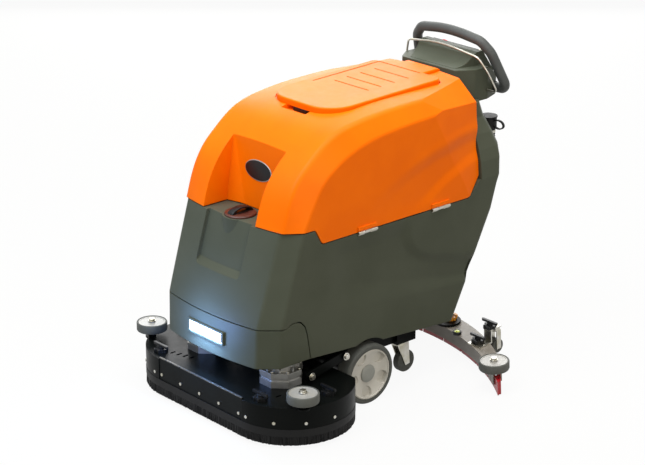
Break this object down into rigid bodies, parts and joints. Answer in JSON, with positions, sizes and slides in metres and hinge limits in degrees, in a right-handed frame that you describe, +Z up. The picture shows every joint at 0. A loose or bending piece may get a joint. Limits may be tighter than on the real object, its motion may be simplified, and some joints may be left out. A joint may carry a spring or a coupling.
{
  "type": "floor scrubber dryer",
  "caption": "Walk-behind floor scrubber dryer: tilting orange recovery tank on a grey solution tank, disc brush deck with bumper wheels, curved rear squeegee, hoop handle and control panel.",
  "frame": {"origin": "middle of the machine's box, on the floor", "axes": "+Z up, -Y forward towards the brush deck, +X to the machine's left"},
  "size_m": [1.024, 1.1913, 1.0791],
  "materials": {
    "orange_shell": "fine rotomoulded grain",
    "grey_shell": "fine rotomoulded grain",
    "black_steel": "black powder coat",
    "zinc": "zinc plated",
    "cast_aluminium": "as cast",
    "tyre": "grey-black rubber",
    "wheel_disc": "satin",
    "bumper": "rubber ring over a pale disc",
    "black_rubber": "matt",
    "red_blade": "polyurethane",
    "bristle": "nylon bristle",
    "black_plastic": "fine grain",
    "yellow_knob": "satin",
    "brown_cap": "satin",
    "lamp": "frosted",
    "red_button": "gloss",
    "button": "gloss"
  },
  "bodies": {
    "chassis": {"chassis_frame": "black_steel", "solution_tank": "grey_shell", "nose_cover": "grey_shell", "headlamp_lens": "lamp", "console": "grey_shell", "control_panel": "grey_shell", "handlebar": "black_plastic", "transaxle": "black_steel", "batteries": "black_plastic", "tank_hinges": "zinc", "drain_hose": "black_rubber", "drain_cap": "black_rubber", "deck_actuator": "cast_aluminium", "lever_bracket": "zinc"},
    "hood": {"recovery_tank": "orange_shell", "vacuum_motor": "cast_aluminium", "hood_hinges": "zinc"},
    "lid": {"tank_lid": "orange_shell"},
    "cap": {"fill_cap": "brown_cap"},
    "left_wheel": {"left_tyre": "tyre", "left_rim": "wheel_disc"},
    "right_wheel": {"right_tyre": "tyre", "right_rim": "wheel_disc"},
    "left_fork": {"left_caster_fork": "zinc"},
    "right_fork": {"right_caster_fork": "zinc"},
    "left_caster": {"left_caster_wheel": "tyre"},
    "right_caster": {"right_caster_wheel": "tyre"},
    "arms": {"deck_arms": "black_steel"},
    "deck": {"deck_housing": "black_steel", "front_plate": "black_steel", "skirt_strip": "black_rubber", "skirt_bristles": "bristle", "deck_screws": "zinc", "gearmotors": "cast_aluminium", "deck_knobs": "black_plastic"},
    "left_disc": {"left_brush": "bristle"},
    "right_disc": {"right_brush": "bristle"},
    "left_bumper": {"left_bumper_wheel": "bumper"},
    "right_bumper": {"right_bumper_wheel": "bumper"},
    "lift_rod": {"actuator_rod": "zinc"},
    "squeegee_lift": {"squeegee_arm": "zinc"},
    "squeegee": {"swing_bracket": "black_steel", "squeegee_body": "cast_aluminium", "front_blade": "red_blade", "rear_blade": "red_blade", "squeegee_knobs": "black_plastic", "glide_brackets": "zinc", "bracket_knobs": "yellow_knob"},
    "left_roll": {"left_roller": "bumper"},
    "right_roll": {"right_roller": "bumper"},
    "left_glide": {"left_glide_wheel": "tyre"},
    "right_glide": {"right_glide_wheel": "tyre"},
    "bail": {"bail": "zinc"},
    "key": {"key_switch": "zinc"},
    "stop": {"emergency_stop": "red_button"},
    "dial": {"speed_dial": "black_plastic"},
    "brush_key": {"brush_button": "button"},
    "vacuum_key": {"vacuum_button": "button"},
    "lamp_key": {"lamp_button": "button"},
    "lever": {"squeegee_lever": "black_plastic"}
  },
  "joints": [
    {"name": "tank_tilt", "type": "hinge", "parent": "chassis", "child": "hood", "pos_m": [0.275, 0, 0.588], "axis": [0, 1, 0], "range_deg": [0, 75]},
    {"name": "lid_open", "type": "hinge", "parent": "hood", "child": "lid", "pos_m": [0, 0.36, 0.955], "axis": [-1, 0, 0], "range_deg": [0, 75]},
    {"name": "cap_lift", "type": "slide", "parent": "chassis", "child": "cap", "axis": [0, 0, 1], "range_m": [0, 0.06]},
    {"name": "deck_lift", "type": "hinge", "parent": "chassis", "child": "arms", "pos_m": [0, -0.215, 0.186], "axis": [-1, 0, 0], "range_deg": [-4.7, 10]},
    {"name": "deck_level", "type": "hinge", "parent": "arms", "child": "deck", "pos_m": [0, -0.358, 0.16], "axis": [-1, 0, 0], "range_deg": [-10, 4.7]},
    {"name": "lift_rod_slide", "type": "slide", "parent": "chassis", "child": "lift_rod", "axis": [0, 0, 1], "range_m": [-0.0115, 0.0225]},
    {"name": "squeegee_raise", "type": "hinge", "parent": "chassis", "child": "squeegee_lift", "pos_m": [0, 0.165, 0.15], "axis": [1, 0, 0], "range_deg": [-4.2, 0]},
    {"name": "squeegee_swing", "type": "hinge", "parent": "squeegee_lift", "child": "squeegee", "pos_m": [0, 0.33172, 0.07276], "axis": [0, -0.0732, 0.9973], "range_deg": [-6, 6]},
    {"name": "lever_turn", "type": "hinge", "parent": "chassis", "child": "lever", "pos_m": [-0.13, 0.516, 0.64], "axis": [1, 0, 0], "range_deg": [0, 45]},
    {"name": "bail_press", "type": "hinge", "parent": "chassis", "child": "bail", "pos_m": [0, 0.4984, 0.88909], "axis": [-1, 0, 0], "range_deg": [0, 6], "stiffness_Nm_per_rad": 8, "springref_deg": -6.88},
    {"name": "key_turn", "type": "hinge", "parent": "chassis", "child": "key", "pos_m": [0.084, 0.5323, 0.97848], "axis": [0, 0.8096, 0.587], "range_deg": [-60, 0]},
    {"name": "stop_press", "type": "slide", "parent": "chassis", "child": "stop", "axis": [0, -0.8096, -0.587], "range_m": [0, 0.006], "stiffness_N_per_m": 600, "springref_m": -0.004},
    {"name": "dial_turn", "type": "hinge", "parent": "chassis", "child": "dial", "pos_m": [-0.044, 0.54874, 0.95581], "axis": [0, 0.8096, 0.587], "range_deg": [-135, 135]},
    {"name": "brush_key_press", "type": "slide", "parent": "chassis", "child": "brush_key", "axis": [0, -0.8096, -0.587], "range_m": [0, 0.003], "stiffness_N_per_m": 400, "springref_m": -0.002},
    {"name": "vacuum_key_press", "type": "slide", "parent": "chassis", "child": "vacuum_key", "axis": [0, -0.8096, -0.587], "range_m": [0, 0.003], "stiffness_N_per_m": 400, "springref_m": -0.002},
    {"name": "lamp_key_press", "type": "slide", "parent": "chassis", "child": "lamp_key", "axis": [0, -0.8096, -0.587], "range_m": [0, 0.003], "stiffness_N_per_m": 400, "springref_m": -0.002},
    {"name": "left_wheel_spin", "type": "hinge", "parent": "chassis", "child": "left_wheel", "pos_m": [0.247, -0.122, 0.1], "axis": [1, 0, 0], "continuous": true},
    {"name": "left_swivel", "type": "hinge", "parent": "chassis", "child": "left_fork", "pos_m": [0.162, 0.112, 0.09], "axis": [0, 0, 1], "continuous": true},
    {"name": "left_caster_spin", "type": "hinge", "parent": "left_fork", "child": "left_caster", "pos_m": [0.162, 0.134, 0.038], "axis": [1, 0, 0], "continuous": true},
    {"name": "left_disc_spin", "type": "hinge", "parent": "deck", "child": "left_disc", "pos_m": [0.178, -0.411, 0.09], "axis": [0, 0, 1], "continuous": true},
    {"name": "left_bumper_spin", "type": "hinge", "parent": "deck", "child": "left_bumper", "pos_m": [0.371, -0.491, 0.17], "axis": [0, 0, 1], "continuous": true},
    {"name": "left_roll_spin", "type": "hinge", "parent": "squeegee", "child": "left_roll", "pos_m": [0.458, 0.25054, 0.08585], "axis": [0, -0.0732, 0.9973], "continuous": true},
    {"name": "left_glide_spin", "type": "hinge", "parent": "squeegee", "child": "left_glide", "pos_m": [0.306, 0.42139, 0.05328], "axis": [1, 0, 0], "continuous": true},
    {"name": "right_wheel_spin", "type": "hinge", "parent": "chassis", "child": "right_wheel", "pos_m": [-0.247, -0.122, 0.1], "axis": [1, 0, 0], "continuous": true},
    {"name": "right_swivel", "type": "hinge", "parent": "chassis", "child": "right_fork", "pos_m": [-0.162, 0.112, 0.09], "axis": [0, 0, 1], "continuous": true},
    {"name": "right_caster_spin", "type": "hinge", "parent": "right_fork", "child": "right_caster", "pos_m": [-0.162, 0.134, 0.038], "axis": [1, 0, 0], "continuous": true},
    {"name": "right_disc_spin", "type": "hinge", "parent": "deck", "child": "right_disc", "pos_m": [-0.178, -0.411, 0.09], "axis": [0, 0, 1], "continuous": true},
    {"name": "right_bumper_spin", "type": "hinge", "parent": "deck", "child": "right_bumper", "pos_m": [-0.371, -0.491, 0.17], "axis": [0, 0, 1], "continuous": true},
    {"name": "right_roll_spin", "type": "hinge", "parent": "squeegee", "child": "right_roll", "pos_m": [-0.458, 0.25054, 0.08585], "axis": [0, -0.0732, 0.9973], "continuous": true},
    {"name": "right_glide_spin", "type": "hinge", "parent": "squeegee", "child": "right_glide", "pos_m": [-0.306, 0.42139, 0.05328], "axis": [1, 0, 0], "continuous": true}
  ],
  "couplings": [
    {"joint": "deck_level", "follows": "deck_lift", "ratio": -1},
    {"joint": "lift_rod_slide", "follows": "deck_lift", "m_per_rad": 0.123},
    {"joint": "lever_turn", "follows": "squeegee_raise", "ratio": -10}
  ]
}
